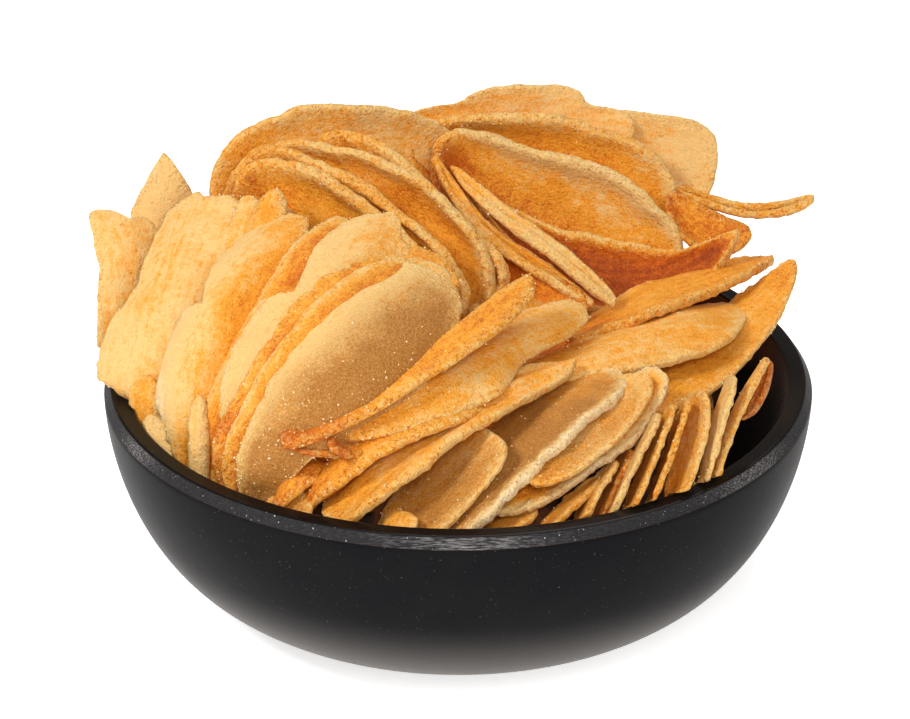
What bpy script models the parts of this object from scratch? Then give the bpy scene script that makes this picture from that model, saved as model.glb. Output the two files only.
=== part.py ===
"""A bowl of crisps: a turned bowl, and the heap of long oval crisps that stands in it.

Blender 4.5, metres, +Z up. The origin is the middle of the bowl's foot and -Y is the front.
The heap is one solid out to its uneven outline: a core that fills the bowl, with the outer
crisps standing on it as thick slabs, all joined into one skin and cut clear of the bowl.
"""

import math

import bpy
import numpy as np

MM = 0.001

# The bowl, in millimetres.
RIM_RADIUS = 80.0
BOWL_HEIGHT = 50.0
FOOT_RADIUS = 29.5
WALL = 4.6
FLOOR = 5.0
RIM_BEVEL_WIDTH = 1.5
RIM_BEVEL_DROP = 2.2
RIM_FLAT_WIDTH = 3.4
RIM_ROUND = 0.6
SWELL = 3.2
RISE = 1.78
WALL_STEPS = 9
TURN_STEPS = 64
BOWL_GAP = 0.4

# The heap, in millimetres.
CRISP_SLAB = 4.4
CRISP_ALONG = 11
CRISP_ACROSS = 7
OVAL_POWER = 2.3
CORE_RINGS = 12
CORE_STEPS = 32
CORE_TOP = (-4.0, 12.0, 74.0)
CORE_SHOULDER = 38.0
CORE_DRAW = 1.5
CORE_GAP = 1.0
EMPTY_SIDE = -0.15
EMPTY_WIDTH = 0.42
EMPTY_DEPTH = 13.0
EMPTY_FLOOR = 22.0
EMPTY_RISE = 12.0
PINCH_START = 0.1
PINCH_RUN = 0.3
SKIN_VOXEL = 1.7
HEAP_FACES = 6200

# Each crisp in millimetres: one tip, the other tip, the middles of its two long edges,
# how far its face swells towards the front, how much wider it is at its second tip, and
# how much its first long edge draws in beyond the middle.
LEFT_FAN = (
    ((-71, 4, 37), (-79, 28, 78), (-82, 10, 61), (-65, 6, 69), 4, 0.1, 0),
    ((-63, 24, 48), (-68, 37, 87), (-75, 28, 75), (-58, 22, 75), 3, 0, 0),
    ((-65, -20, 40), (-56, 19, 84), (-78, -6, 60), (-43, -12, 66), 6, 0, 0.32),
    ((-62, -22, 40), (-48, 15, 86), (-58, -6, 69), (-42, -6, 64), 4, -0.2, 0),
    ((-58, -28, 42), (-42, 10, 89), (-53, -8, 70), (-37, -12, 72), 4, 0, 0),
    ((-56, -36, 39), (-38, 4, 85), (-63, -22, 66), (-34, -26, 68), 7, 0, 0.42),
    ((-57, -37, 38), (-28, 1, 86), (-55, -24, 63), (-32, -24, 66), 6, 0, 0),
    ((-55, -38, 38), (-26, -1, 86), (-49, -27, 68), (-30, -26, 68), 6, 0, 0),
    ((-52, -44, 41), (-18, -5, 89), (-47, -31, 71), (-12, -34, 70), 8, 0, 0.5),
    ((-48, -50, 43), (-13, -14, 84), (-41, -42, 72), (-16, -42, 70), 6, 0, 0),
    ((-49, -49, 44), (-42, -38, 61), (-50, -47, 56), (-43, -45, 52), 3, 0, 0),
    ((-43, -54, 43), (-5, -20, 84), (-37, -45, 77), (-7, -50, 63), 8, 0, 0),
    ((-70, -22, 45), (-65, -14, 57), (-72, -16, 51), (-63, -24, 53), 3, 0, 0),
)
BACK_STACK = (
    ((-58, 30, 78), (5, 46, 72), (-26, 40, 98), (-27, 26, 55), -6, 0, 0),
    ((-54, 26, 79), (9, 3, 66), (-20, 22, 93), (-22, 8, 55), -6, 0, 0),
    ((-28, 30, 89), (10, 5, 66), (-4, 18, 85), (-17, 10, 62), -6, -0.3, 0),
    ((-53, 22, 80), (3, -4, 67), (-25, 18, 90), (-27, 4, 60), -6, -0.3, 0),
    ((-52, 19, 81), (0, -8, 67), (-26, 13, 89), (-29, 0, 61), -6, -0.3, 0),
    ((-6, 36, 88), (30, 1, 65), (8, 30, 70), (9, 4, 79), 2, 0, 0),
    ((-3, 38, 85), (35, 0, 66), (17, 28, 74), (14, 8, 78), 2, 0, 0),
)
BACK_RIGHT = (
    ((-1, 37, 82), (66, 26, 70), (32, 27, 72), (31, 18, 58), -3, 0, 0),
    ((-7, 40, 86), (54, 30, 65), (23, 42, 87), (19, 26, 55), -8, 0, 0),
    ((-12, 44, 84), (53, 42, 69), (20, 50, 92), (19, 34, 61), -7, 0.25, 0),
    ((-15, 50, 87), (47, 54, 81), (16, 58, 97), (17, 42, 66), -5, 0, 0),
    ((28, 54, 82), (63, 50, 79), (47, 56, 90), (44, 46, 65), -3, 0, 0),
    ((44, 40, 78), (83, 32, 77), (65, 37, 76), (65, 33, 72), -2, 0, 0),
    ((45, 38, 71), (69, 34, 67), (57, 36, 73), (55, 32, 64), -2, 0, 0),
)
RIGHT_LYING = (
    ((29, -10, 61), (74, 24, 66), (51, 20, 60), (51, -4, 64), 2, 0, 0),
    ((9, -28, 59), (65, 2, 61), (41, 6, 59), (37, -30, 63), 4, 0.25, 0),
    ((39, -34, 54), (78, 18, 68), (55, 8, 59), (62, -18, 58), 2, 0, 0),
)
FRONT_LYING = (
    ((-37, -55, 60), (17, -22, 84), (-6, -36, 70), (-5, -54, 73), 2, 0, 0),
    ((-24, -55, 62), (29, -14, 70), (3, -26, 70), (5, -50, 64), 4, 0.3, 0),
    ((-27, -58, 60), (9, -28, 59), (-13, -40, 62), (-11, -58, 56), -5, 0, 0),
    ((-33, -60, 46), (5, -44, 64), (-16, -46, 57), (-13, -64, 60), 3, 0.45, 0),
    ((-26, -64, 48), (25, -32, 64), (-5, -38, 60), (-3, -66, 58), -5, 0, 0),
)
FRONT_FAN = (
    ((-16, -73, 42), (9, -48, 58), (-6, -38, 48), (7, -64, 55), 3, 0, 0),
    ((-4, -71, 40), (35, -32, 63), (9, -34, 54), (21, -60, 59), 4, 0, 0),
    ((13, -66, 54), (40, -32, 64), (22, -36, 57), (30, -58, 58), 3, 0, 0),
    ((7, -68, 47), (45, -36, 65), (22, -42, 55), (34, -58, 58), 3, 0, 0),
    ((0, -73, 42), (32, -42, 53), (13, -50, 48), (21, -68, 50), 3, 0, 0),
    ((27, -66, 38), (43, -46, 62), (28, -46, 48), (35, -60, 53), 3, 0, 0),
    ((31, -66, 38), (46, -44, 63), (32, -44, 47), (41, -56, 56), 3, 0, 0),
    ((36, -62, 38), (49, -42, 63), (39, -42, 48), (45, -52, 56), 3, 0, 0),
    ((40, -60, 39), (53, -40, 64), (41, -38, 48), (51, -48, 55), 3, 0, 0),
    ((49, -54, 40), (60, -34, 66), (50, -36, 52), (58, -44, 56), 3, 0, 0),
    ((51, -50, 38), (67, -28, 66), (54, -32, 53), (61, -40, 57), 3, 0, 0),
)
CRISP_GROUPS = (LEFT_FAN, BACK_STACK, BACK_RIGHT, RIGHT_LYING, FRONT_LYING, FRONT_FAN)

# The two rows that stand round the back: where the row starts and ends in degrees from
# +X, how many crisps, the radius and height of their feet and heads, half their width,
# the swell outwards, and how far the row's heads rise and fall.
BACK_ROWS = (
    (46, 154, 8, (67, 38), (62, 80), 19, 6, 4),
    (60, 136, 6, (54, 54), (48, 88), 18, 5, 3),
)
BACK_ROW_FAN = 7.0
BACK_ROW_YAW = 4.0


def clear_scene():
    for old in list(bpy.data.objects):
        bpy.data.objects.remove(old, do_unlink=True)


def material(name, colour, roughness, metallic=0.0):
    made = bpy.data.materials.new(name)
    made.use_nodes = True
    shader = made.node_tree.nodes["Principled BSDF"]
    shader.inputs["Base Color"].default_value = (*colour, 1.0)
    shader.inputs["Roughness"].default_value = roughness
    shader.inputs["Metallic"].default_value = metallic
    return made


def new_object(name, vertices, faces, finish, edges=()):
    """An object whose points are given in millimetres."""
    mesh = bpy.data.meshes.new(name)
    mesh.from_pydata([tuple(p) for p in np.asarray(vertices, float) * MM], list(edges), faces)
    mesh.update()
    made = bpy.data.objects.new(name, mesh)
    bpy.context.collection.objects.link(made)
    if finish:
        mesh.materials.append(finish)
    return made


# ---------------------------------------------------------------- the bowl
def wall_curve(foot_radius, rim_radius, low, high):
    """A bowl's side from the foot up: the radius goes with sin(a) and the height with
    1 - cos(a), each raised to its own power, as a runs through a quarter turn."""
    a = np.linspace(0.0, math.pi / 2, WALL_STEPS)
    radius = foot_radius + (rim_radius - foot_radius) * np.sin(a) ** (2 / SWELL)
    height = low + (high - low) * (1 - np.cos(a) ** (2 / RISE))
    return np.column_stack([radius, height])


def bowl_profile(grow=0.0):
    """The half outline, from the middle of the floor up the inside, over the rim, down the
    outside and back to the axis under the foot. grow thickens it all round."""
    inner_radius = RIM_RADIUS - RIM_BEVEL_WIDTH - RIM_FLAT_WIDTH - RIM_ROUND - grow
    inner_foot = FOOT_RADIUS - WALL
    top = BOWL_HEIGHT + grow
    inside = wall_curve(inner_foot, inner_radius, FLOOR + grow, top - RIM_ROUND)
    rim = [
        (inner_radius + RIM_ROUND, top),
        (RIM_RADIUS - RIM_BEVEL_WIDTH, top),
    ]
    outside = wall_curve(FOOT_RADIUS, RIM_RADIUS + grow, -grow, BOWL_HEIGHT - RIM_BEVEL_DROP)
    axis_top = [(0.0, FLOOR + grow)]
    axis_foot = [(0.0, -grow)]
    return np.vstack([axis_top, inside, rim, outside[::-1], axis_foot])


def turned(name, profile, finish):
    """A half outline carried round the Z axis by a Screw modifier, its ends closed on it."""
    points = np.column_stack([profile[:, 0], np.zeros(len(profile)), profile[:, 1]])
    edges = [(i, i + 1) for i in range(len(points) - 1)]
    made = new_object(name, points, [], finish, edges)
    screw = made.modifiers.new("turn", "SCREW")
    screw.steps = screw.render_steps = TURN_STEPS
    screw.use_merge_vertices = True
    screw.merge_threshold = 0.00001
    screw.use_smooth_shade = True
    return made


# ---------------------------------------------------------------- the heap
def oval_grid(along, across):
    """A square grid bent into an oval: x runs between the tips and y between the long
    edges, and the outline is |x|^p + |y|^p = 1 with p the oval's power."""
    a, b = np.meshgrid(np.linspace(-1, 1, along), np.linspace(-1, 1, across), indexing="ij")
    x, y = a * np.sqrt(1 - b * b / 2), b * np.sqrt(1 - a * a / 2)
    turn = np.arctan2(y, x)
    power = OVAL_POWER
    stretch = (np.abs(np.cos(turn)) ** power + np.abs(np.sin(turn)) ** power) ** (-1 / power)
    return x * stretch, y * stretch


def crisp_slab(tip_a, tip_b, edge_a, edge_b, swell, egg, pinch):
    """A closed slab round the face centre + x half length + (1 - x^2) bow + y half width
    + (1 - x^2 - y^2) swell along the face's own direction. Its half width goes with
    1 + egg x, and on the first edge it eases to 1 - pinch towards the second tip."""
    tip_a, tip_b, edge_a, edge_b = (np.array(p, float) for p in (tip_a, tip_b, edge_a, edge_b))
    x, y = oval_grid(CRISP_ALONG, CRISP_ACROSS)
    centre, half_length = (tip_a + tip_b) / 2, (tip_b - tip_a) / 2
    half_width = (edge_b - edge_a) / 2
    bow = (edge_a + edge_b) / 2 - centre
    out = np.cross(half_width, half_length)
    out /= np.linalg.norm(out)
    ease = np.clip((x - PINCH_START) / PINCH_RUN, 0, 1)
    ease = ease * ease * (3 - 2 * ease)
    width = y * (1 + egg * x) * np.where(y < 0, 1 - pinch * ease, 1)
    x, y, width = x[..., None], y[..., None], width[..., None]
    face = centre + x * half_length + (1 - x**2) * bow + width * half_width
    face = face + (1 - x**2 - y**2) * swell * out
    front = (face + out * CRISP_SLAB / 2).reshape(-1, 3)
    back = (face - out * CRISP_SLAB / 2).reshape(-1, 3)
    return np.vstack([front, back]), slab_faces(CRISP_ALONG, CRISP_ACROSS)


def back_crisps():
    """The rows of BACK_ROWS. Each crisp faces outwards, its head fans away from its foot,
    one long edge tucks behind its neighbour, and the heads rise and fall along the row."""
    crisps = []
    for start, end, count, foot, head, half_width, swell, wave in BACK_ROWS:
        for i, degrees in enumerate(np.linspace(start, end, count)):
            fan = BACK_ROW_FAN * math.sin(2.1 * i + 0.5)
            turn, head_turn = math.radians(degrees), math.radians(degrees + fan)
            out = np.array([math.cos(turn), math.sin(turn), 0.0])
            side = np.array([-math.sin(turn), math.cos(turn), 0.0])
            head_out = np.array([math.cos(head_turn), math.sin(head_turn), 0.0])
            up = np.array([0.0, 0.0, 1.0])
            low = out * foot[0] + up * foot[1]
            high = head_out * head[0] + up * (head[1] + wave * math.sin(1.7 * i))
            middle = (low + high) / 2
            tuck = BACK_ROW_YAW * out
            edge_a = middle + half_width * side - tuck
            edge_b = middle - half_width * side + tuck
            crisps.append((low, high, edge_a, edge_b, swell, 0.1 * math.cos(i), 0))
    return crisps


def slab_faces(rows, columns):
    """Quads of the front grid, of the back grid turned over, and of the wall between."""
    n = rows * columns
    at = np.arange(n).reshape(rows, columns)
    cell = np.stack([at[:-1, :-1], at[:-1, 1:], at[1:, 1:], at[1:, :-1]], -1).reshape(-1, 4)
    ring = np.concatenate([at[:-1, 0], at[-1, :-1], at[:0:-1, -1], at[0, :0:-1]])
    after = np.roll(ring, -1)
    wall = np.column_stack([ring, after, after + n, ring + n])
    return [tuple(map(int, f)) for f in np.vstack([cell, cell[:, ::-1] + n, wall[:, ::-1]])]


def core_body():
    """Rings that follow the bowl's inside up to the shoulder and then close in a dome over
    the top point. On the right the core keeps clear of the wall, where the bowl is empty."""
    inner_radius = RIM_RADIUS - RIM_BEVEL_WIDTH - RIM_FLAT_WIDTH - RIM_ROUND
    wall = wall_curve(FOOT_RADIUS - WALL, inner_radius, FLOOR, BOWL_HEIGHT)
    below = np.linspace(FLOOR + 0.5, CORE_SHOULDER, CORE_RINGS)
    turn = np.linspace(0, 2 * math.pi, CORE_STEPS, endpoint=False)
    around = np.column_stack([np.cos(turn), np.sin(turn)])
    off_side = (turn - EMPTY_SIDE + math.pi) % (2 * math.pi) - math.pi
    empty = np.exp(-((off_side / EMPTY_WIDTH) ** 2))
    rings = []
    for height in below:
        reach = np.interp(height, wall[:, 1], wall[:, 0]) - CORE_GAP
        inset = EMPTY_DEPTH * empty * np.clip((height - EMPTY_FLOOR) / EMPTY_RISE, 0, 1)
        flat = around * (reach - inset)[:, None]
        rings.append(np.column_stack([flat, np.full(CORE_STEPS, height)]))
    shoulder = rings[-1]
    top = np.array(CORE_TOP)
    for a in np.linspace(0, math.pi / 2, CORE_RINGS // 2)[1:-1]:
        flat = top[:2] + (shoulder[:, :2] - top[:2]) * math.cos(a) ** CORE_DRAW
        height = CORE_SHOULDER + (top[2] - CORE_SHOULDER) * math.sin(a)
        rings.append(np.column_stack([flat, np.full(CORE_STEPS, height)]))
    vertices = np.vstack(rings + [[0, 0, FLOOR + 0.5], CORE_TOP])
    faces = []
    for ring in range(len(rings) - 1):
        for i in range(CORE_STEPS):
            j = (i + 1) % CORE_STEPS
            low, high = ring * CORE_STEPS, (ring + 1) * CORE_STEPS
            faces.append((low + i, low + j, high + j, high + i))
    base, peak = len(rings) * CORE_STEPS, len(rings) * CORE_STEPS + 1
    last = (len(rings) - 1) * CORE_STEPS
    for i in range(CORE_STEPS):
        j = (i + 1) % CORE_STEPS
        faces.append((j, i, base))
        faces.append((last + i, last + j, peak))
    return vertices, faces


def joined(shapes):
    """Several closed shapes as one list of points and one of faces."""
    vertices, faces, start = [], [], 0
    for points, polygons in shapes:
        vertices.append(points)
        faces += [tuple(start + i for i in polygon) for polygon in polygons]
        start += len(points)
    return np.vstack(vertices), faces


def crisp_heap(finish):
    """The core and every slab under one voxel skin, thinned, and cut clear of the bowl."""
    crisps = [crisp for group in CRISP_GROUPS for crisp in group] + back_crisps()
    slabs = [crisp_slab(*crisp) for crisp in crisps]
    heap = new_object("crisp_heap", *joined([core_body()] + slabs), finish)
    skin = heap.modifiers.new("skin", "REMESH")
    skin.mode = "VOXEL"
    skin.voxel_size = SKIN_VOXEL * MM
    thin = heap.modifiers.new("thin", "DECIMATE")
    thin.ratio = HEAP_FACES / count_triangles(heap)
    clearance = turned("bowl_clearance", bowl_profile(BOWL_GAP), None)
    clearance.hide_render = True
    clearance.display_type = "WIRE"
    cut = heap.modifiers.new("clear_of_bowl", "BOOLEAN")
    cut.operation = "DIFFERENCE"
    cut.solver = "EXACT"
    cut.object = clearance
    return heap


def count_triangles(made):
    """How many triangles the object has with the modifiers that it has so far."""
    bpy.context.view_layer.update()
    shown = made.evaluated_get(bpy.context.evaluated_depsgraph_get())
    mesh = shown.to_mesh()
    mesh.calc_loop_triangles()
    count = len(mesh.loop_triangles)
    shown.to_mesh_clear()
    return count


clear_scene()
charcoal = material("bowl_charcoal", (0.045, 0.043, 0.046), 0.5)
golden = material("crisp_golden", (0.75, 0.42, 0.13), 0.75)
turned("bowl", bowl_profile(), charcoal)
crisp_heap(golden)
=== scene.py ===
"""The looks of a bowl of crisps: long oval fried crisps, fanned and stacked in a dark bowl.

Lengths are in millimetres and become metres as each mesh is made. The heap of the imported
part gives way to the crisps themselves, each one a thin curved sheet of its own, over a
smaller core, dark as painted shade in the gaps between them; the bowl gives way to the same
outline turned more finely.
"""

import math

import bpy
import numpy as np
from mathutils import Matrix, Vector


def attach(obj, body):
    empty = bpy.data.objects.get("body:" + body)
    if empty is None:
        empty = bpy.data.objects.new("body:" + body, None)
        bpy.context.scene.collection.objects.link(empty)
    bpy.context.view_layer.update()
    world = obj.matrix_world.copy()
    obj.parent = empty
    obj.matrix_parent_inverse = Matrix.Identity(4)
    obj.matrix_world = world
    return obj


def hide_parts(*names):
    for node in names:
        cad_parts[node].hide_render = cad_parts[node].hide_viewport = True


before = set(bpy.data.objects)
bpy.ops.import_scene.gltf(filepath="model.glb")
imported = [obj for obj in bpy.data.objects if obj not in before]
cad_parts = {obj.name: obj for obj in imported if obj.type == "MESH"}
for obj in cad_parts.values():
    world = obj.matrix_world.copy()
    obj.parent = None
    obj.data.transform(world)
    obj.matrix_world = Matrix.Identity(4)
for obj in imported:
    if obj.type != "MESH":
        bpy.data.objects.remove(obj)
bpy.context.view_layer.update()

MM = 0.001
UP = np.array([0.0, 0.0, 1.0])

# ------------ sizes of the bowl
RIM_RADIUS = 80.0
BOWL_HEIGHT = 50.0
FOOT_RADIUS = 29.5
WALL = 4.6
FLOOR = 5.0
BEVEL_WIDTH = 1.5
BEVEL_DROP = 2.2
RIM_FLAT = 3.4
RIM_ROUND = 0.6
SWELL = 3.2
RISE = 1.78
INNER_RADIUS = RIM_RADIUS - BEVEL_WIDTH - RIM_FLAT - RIM_ROUND
# Where the ground band's scratches are painted bright, as a highlight: degrees from +X,
# and how far it spreads.
BAND_HIGHLIGHT_PLACES = ((-89, 9), (-38, 8), (-150, 5), (60, 10), (150, 8))
WALL_STEPS = 40
TURN_STEPS = 192
# How far the crisps stay off the inner wall, and how fast their room widens above the rim.
WALL_CLEARANCE = 0.3
ROOM_ABOVE_RIM = 2.5

# ------------ sizes of a crisp
HALF_THICKNESS = 0.85
UNEVEN_THICKNESS = 0.15
OVAL_POWER = 2.3
STEPS_AROUND = 240
STEPS_INWARD = 10
# A crisp with half its length below SMALL_CRISP has fewer steps and these shares of the
# thickness, of the wander of its outline and of the waves of its face.
SMALL_CRISP = 20.0
SMALL_AROUND = 110
SMALL_INWARD = 6
SMALL_THICKNESS = 0.75
SMALL_WANDER = 0.5
SMALL_WAVES = 0.3
# The rounded rim: rings at these distances in from the outline, and the share of the full
# half thickness that each of them has.
RIM_RINGS = ((0.0, 0.0), (0.06, 0.55), (0.22, 0.87), (0.6, 1.0), (1.4, 1.0))
# Layers of noise on the outline and on the face: how high, how wide, and what is added to
# the crisp's seed.
OUTLINE_WANDER = ((0.9, 13.0, 0.0), (0.35, 5.0, 0.3), (0.24, 1.9, 0.6), (0.17, 0.95, 0.8))
FACE_WAVES = ((0.75, 15.0, 1), (0.3, 5.0, 5))
GROOVE_WIDTH = 3.6
GROOVE_STRETCH = np.array([0.15, 1.0, 1.0])
# How far in from the outline the curl reaches, where the bead is thickest and how wide it
# is, how wide the pale rim is without a bead, and how high, wide and deep the crumbs are.
CURL_REACH = 2.6
BEAD_INSET = 1.3
BEAD_WIDTH = 1.6
PALE_RIM_WIDTH = 1.7
CRUMB_HEIGHT = 0.34
CRUMB_WIDTH = 1.3
CRUMB_REACH = 2.2
# Where along a crisp, as a share of half its length or width, a pinch runs, a pinch at the
# foot starts and runs, and an edge begins to roll.
PINCH_RUN = 0.3
FOOT_PINCH_START = -0.3
FOOT_PINCH_RUN = 0.4
ROLL_START = 0.3
# How tan a face is in its middle, what x and y add as painted shade towards the first tip
# and the second edge, and the most it can be.
TAN_MIDDLE, TAN_SHADE_ALONG, TAN_SHADE_ACROSS, TAN_MOST = 0.9, -0.5, 0.95, 1.4
# The UV map: millimetres to a unit, and how far the next seed's crisp is moved on.
UV_UNIT = 100.0
UV_SHIFT = np.array([31.7, 17.3])

# ------------ sizes of a salt grain
GRAIN_COUNT = 2600
GRAIN_SIZES = (0.13, 0.30)
GRAIN_SCATTER = 0.6
GRAIN_RAISED = 0.35
GRAIN_STRETCH = (0.65, 1.25)
GRAIN_SEED = 7

# ------------ sizes of the core
CORE_STEPS = 72
CORE_TOP = np.array([-4.0, 8.0, 60.0])
CORE_SHOULDER = 34.0
CORE_OFF_WALL = 1.5
CORE_POWER = 1.5
CORE_LUMPS = ((0.8, 6.0, 0.0),)
CORE_SEED = 3.0
# The hollow on the right: its direction and spread in radians, how far it goes in, and the
# height where it starts and the height over which it deepens.
HOLLOW_TURN = -0.15
HOLLOW_SPREAD = 0.42
HOLLOW_DEPTH = 16.0
HOLLOW_FOOT = 18.0
HOLLOW_RISE = 12.0

# ------------ every crisp in sight
# A row is: one tip, the other tip, the middles of the two long edges, how far the face
# swells towards the front, and how deep its colour is from 0 (cream) to 1 (orange). What
# follows by name changes it, as crisp_face, oval_rings and crisp tell.
LEFT_FAN = (
    ((-76, 2, 42), (-78, 18, 80), (-82, 9, 70), (-67, 14, 66), 3, 0.18,
     dict(power=4.0, dents=((14, 1.5, 14),))),
    ((-69, 27, 62), (-68, 31, 90), (-76, 27, 76), (-60, 29, 76), 3, 0.06, dict(power=1.15)),
    ((-68, -20, 40), (-56, 19, 84), (-78, -6, 60), (-46, -10, 66), 6, 0.14,
     dict(egg=-0.05, pinch=0.2, pinch_foot=0.3, power=2.3,
          dents=((-42, -3.0, 13), (-20, -1.5, 10), (-76, 2.0, 12), (-104, -1.0, 14)))),
    ((-58, -22, 45), (-47, 14, 86), (-55, -4, 68), (-46, -6, 67), 4, 0.3, dict(egg=0.2)),
    ((-56, -27, 45), (-41, 11, 88), (-51, -8, 70), (-44, -10, 71), 3, 0.4,
     dict(power=3.2, egg=0.2)),
    ((-57, -37, 40), (-37, 5, 84), (-61, -22, 68), (-42, -26, 70), 8, 0.22,
     dict(egg=0.1, side=0.5,
          dents=((-30, -3.0, 14), (-66, 6.0, 12), (-98, -5.5, 14), (-150, 1, 20)))),
    ((-54, -38, 41), (-25, 2, 84), (-43, -22, 75), (-30, -26, 71), 6, 0.75,
     dict(egg=0.1, groove=0.6, bead=0.5, curl=0.6, pale_rim=0.8)),
    ((-55, -43, 41), (-24, 0, 83), (-45, -27, 72), (-30, -31, 71), 6, 0.65,
     dict(egg=0.1, groove=0.5, bead=0.5, curl=0.4, pale_rim=0.6)),
    ((-49, -45, 42), (-15, -6, 89), (-46, -32, 73), (-18, -38, 72), 6, 0.18,
     dict(power=2.4, egg=0.2, dents=((-58, 6.5, 15), (28, 1.5, 15)), lean=0.4, side=0.35,
          tan_and_shade=0.25, foot=0.6, pinch_foot=0.2, pinch_right=0.2)),
    ((-47, -50, 43), (-7, -16, 84), (-39, -38, 76), (-12, -45, 68), 6, 0.7,
     dict(egg=0.1, groove=0.5, bead=0.5, curl=0.5, pale_rim=0.2)),
    ((-45, -52, 43), (-6, -20, 83), (-37, -42, 75), (-12, -48, 66), 6, 0.7,
     dict(egg=0.1, groove=0.5, bead=0.5, curl=0.5, pale_rim=0.6)),
    ((-43, -56, 43), (-4, -25, 82), (-36, -50, 75), (-14, -54, 65), 6, 0.12,
     dict(egg=0.25, roll=3.5, salt=1.0, side=0.15, tan_and_shade=1.35,
          dents=((-50, -3, 25), (140, 5, 25)))),
    ((-55, -44, 41), (-55, -37, 61), (-57, -41, 52), (-53, -43, 52), 2, 0.2, {}),
    ((-68, -26, 44), (-69, -18, 57), (-72, -20, 50), (-65, -25, 52), 1, 0.4,
     dict(power=3.0, groove=0.8)),
    ((-66, -33, 40), (-65, -29, 52), (-70, -31, 45), (-61, -35, 46), 1, 0.02,
     dict(power=2.8, foot=0)),
)
BACK_STACK = (
    ((-58, 30, 78), (5, 46, 72), (-26, 40, 98), (-27, 26, 55), -3, 0.24,
     dict(bead=0.6, curl=0.3, groove=0.4, pale_rim=0.15)),
    ((-54, 26, 79), (9, 3, 66), (-20, 22, 93), (-22, 8, 55), -6, 0.54,
     dict(egg=-0.05, bead=0.9, curl=0.8, groove=0.5, pale_rim=0.3)),
    ((-35, 30, 89), (10, 5, 66), (-4, 18, 85), (-17, 10, 62), -6, 0.55,
     dict(egg=-0.3, power=2.6, bead=0.9, curl=0.8, groove=0.5, pale_rim=0.3)),
    ((-53, 22, 80), (3, -4, 67), (-25, 18, 90), (-27, 4, 60), -6, 0.65,
     dict(egg=-0.3, bead=0.9, curl=0.8, groove=0.5, pale_rim=0.3)),
    ((-52, 19, 81), (0, -8, 67), (-26, 13, 89), (-29, 0, 61), -6, 0.6,
     dict(egg=-0.3, bead=0.9, curl=0.8, groove=0.5, pale_rim=0.3)),
    ((-6, 36, 87), (30, 1, 65), (9, 21, 74), (8, 15, 73), 1, 0.4, dict(sway=-1, bead=0.4)),
    ((-3, 30, 78), (28, -2, 63), (12, 17, 72), (-1, 6, 56), -5, 0.85, dict(groove=0.4)),
    ((-2, 38, 83), (35, 0, 65), (17, 18, 76), (16, 12, 75), 1, 0.25,
     dict(egg=0.2, sway=-1.5, bead=0.4)),
)
BACK_RIGHT = (
    # Painted shade: the first one's tone past 1 under its rim, the next one's side at its lower
    # edge.
    ((2, 34, 80), (66, 24, 73), (34, 25, 72), (36, 8, 57), -4, 1.4,
     dict(power=1.6, dents=((-50, 2, 30),), bead=0.9, curl=0.7, pale_rim=1.1, foot=0)),
    ((-7, 40, 86), (54, 30, 65), (23, 42, 87), (19, 26, 55), -8, 0.7,
     dict(slope=-0.1, side=0.6, dents=((-120, 2.5, 30), (-38, 1, 20)), bead=0.9, curl=0.7,
          pale_rim=0.4)),
    ((-12, 44, 84), (53, 42, 69), (20, 50, 92), (19, 34, 61), -7, 0.55,
     dict(egg=0.2, bead=0.9, curl=0.8, groove=0.4, pale_rim=0.3)),
    ((-14, 48, 88), (42, 54, 87), (15, 58, 97), (15, 48, 79), -2, 0.22,
     dict(power=2.0, dents=((-130, 2, 14), (-42, 2, 14)))),
    ((28, 54, 82), (62, 50, 79), (47, 56, 90), (44, 46, 65), -2, 0.08, dict(power=2.6)),
    ((52, 40, 77), (83, 31, 78), (69, 37, 75), (68, 34, 73), -2, 0.5,
     dict(power=3.6, egg=0.2, bead=0.6, curl=0.3, ragged=1.4)),
    ((49, 38, 76), (69, 32, 68), (60, 37, 73), (56, 29, 66), -2, 0.75, dict(power=2.2)),
)
RIGHT_LYING = (
    ((24, -12, 61), (73, 25, 65), (46, 20, 61), (51, -2, 66), 1, 0.55,
     dict(power=1.9, bead=0.3, curl=0.4)),
    ((9, -30, 60), (65, 0, 62), (43, 4, 59), (37, -30, 63), 4, 0.38,
     dict(egg=0.35, groove=0.5, salt=0.2)),
    ((36, -38, 57), (78, 18, 67), (55, 2, 59), (61, -20, 58), 2, 0.5,
     dict(power=1.7, groove=0.4)),
)
FRONT_LYING = (
    ((-43, -66, 43), (-31, -62, 50), (-39, -59, 48), (-34, -68, 46), 0, 0.45,
     dict(tan_and_shade=0.9, power=3.0)),
    ((-38, -63, 48), (-26, -56, 54), (-33, -56, 54), (-31, -62, 52), 2, 0.7, {}),
    ((-36, -62, 63), (15.5, -23.5, 82), (-9, -45, 73), (-7, -53, 71.5), 2, 0.62,
     dict(bead=0.6, salt=0.2, power=5.0, egg=0.3, foot=0.4, curl=0.4, groove=0.6)),
    ((-24, -58, 63), (29, -14, 69), (3, -28, 70), (5, -50, 65), 4, 0.34,
     dict(egg=0.3, pinch_right=0.7, pinch_start=0.1, bead=0.3, salt=0.3)),
    ((-35, -60, 62), (-10, -46, 66), (-24, -48, 62), (-22, -60, 61), -3, 0.9, dict(bead=0.3)),
    ((-27, -62, 63), (-4, -44, 66), (-16, -47, 62), (-16, -60, 60), -3, 0.85,
     dict(bead=0.4, curl=0.6)),
    ((-33, -62, 47), (5, -44, 63), (-19, -50, 58), (-12, -62, 61), 3, 0.55,
     dict(egg=0.3, pinch_foot=0.4, bead=0.3, salt=0.3)),
    ((-27, -64, 46), (25, -32, 65), (-7, -44, 61), (-3, -61.5, 59.5), 1, 0.35,
     dict(egg=-0.3, bead=0.3, curl=0.3, groove=0.8)),
)
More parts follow.
